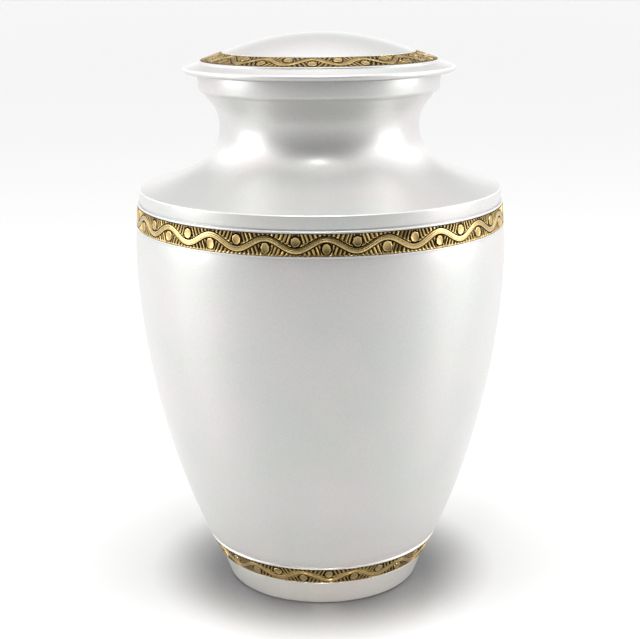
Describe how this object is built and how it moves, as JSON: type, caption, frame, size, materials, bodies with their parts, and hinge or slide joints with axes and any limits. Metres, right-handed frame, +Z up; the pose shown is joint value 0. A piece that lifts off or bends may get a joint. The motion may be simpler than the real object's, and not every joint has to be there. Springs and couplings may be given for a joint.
{
  "type": "cremation urn",
  "caption": "Covered cremation urn: footed vessel with broad shoulder, waisted neck and collar, domed lift-off lid, and engraved vine bands on foot, shoulder and lid.",
  "frame": {"origin": "centre of the foot's underside, on the surface that the urn stands on", "axes": "+Z up along the turning axis, -Y towards the viewer, +X to the viewer's right"},
  "size_m": [0.1764, 0.1764, 0.267],
  "materials": {
    "pearl_enamel": "white pearl enamel on brass, glossy",
    "antique_brass": "engraved and antiqued, dark brown in the cuts and rubbed bright on the relief"
  },
  "bodies": {
    "root": {"urn_body": "pearl_enamel", "lid": "pearl_enamel", "shoulder_band": "antique_brass", "foot_band": "antique_brass", "lid_band": "antique_brass"}
  },
  "joints": []
}
